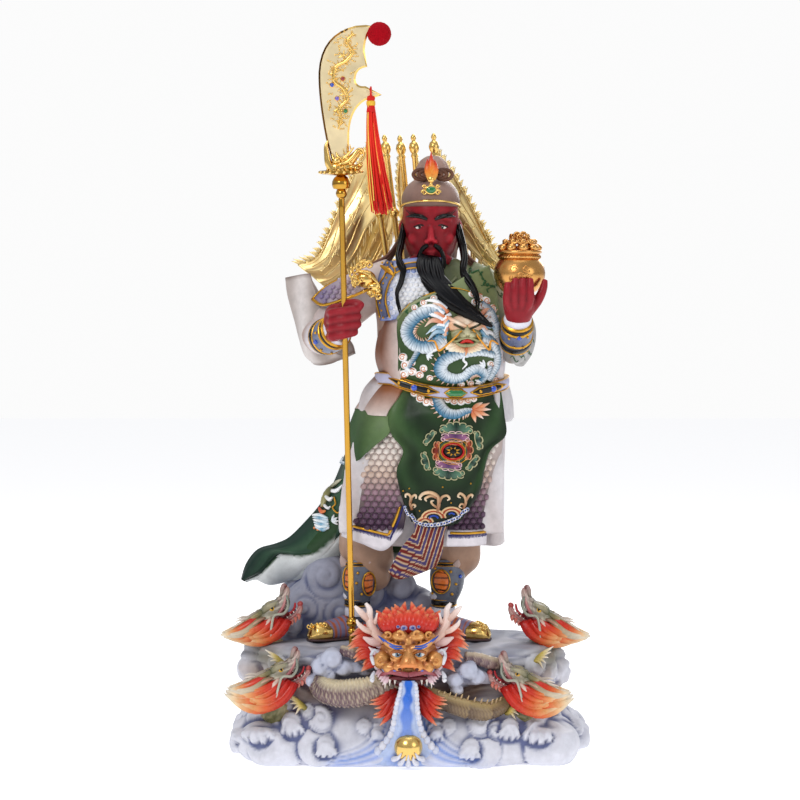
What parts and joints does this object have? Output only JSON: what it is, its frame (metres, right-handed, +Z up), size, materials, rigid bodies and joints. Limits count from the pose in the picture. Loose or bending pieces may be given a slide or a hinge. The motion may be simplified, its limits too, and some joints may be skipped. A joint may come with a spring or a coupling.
{
  "type": "guardian general statue",
  "caption": "Painted resin statue of a bearded general with a gilt glaive, back flags and treasure pot on a dragon and wave plinth.",
  "frame": {"origin": "middle of the plinth's flat underside", "axes": "+Z up to the glaive's blade; -Y is the front, where the face and the water-spouting dragon look; +X is the side of the hand with the pot"},
  "size_m": [0.2842, 0.1962, 0.5765],
  "materials": {
    "plinth_resin": "satin",
    "figure_resin": "satin",
    "gilt_metal": "polished",
    "red_felt": "matte",
    "red_thread": "satin"
  },
  "bodies": {
    "root": {"plinth": "plinth_resin", "figure": "figure_resin", "glaive_shaft": "gilt_metal", "glaive_blade": "gilt_metal", "tip_ball": "red_felt", "tassel": "red_thread", "treasure_pot": "gilt_metal", "flag_outer_left": "gilt_metal", "flag_inner_left": "gilt_metal", "flag_middle": "gilt_metal", "flag_inner_right": "gilt_metal", "flag_outer_right": "gilt_metal"}
  },
  "joints": []
}
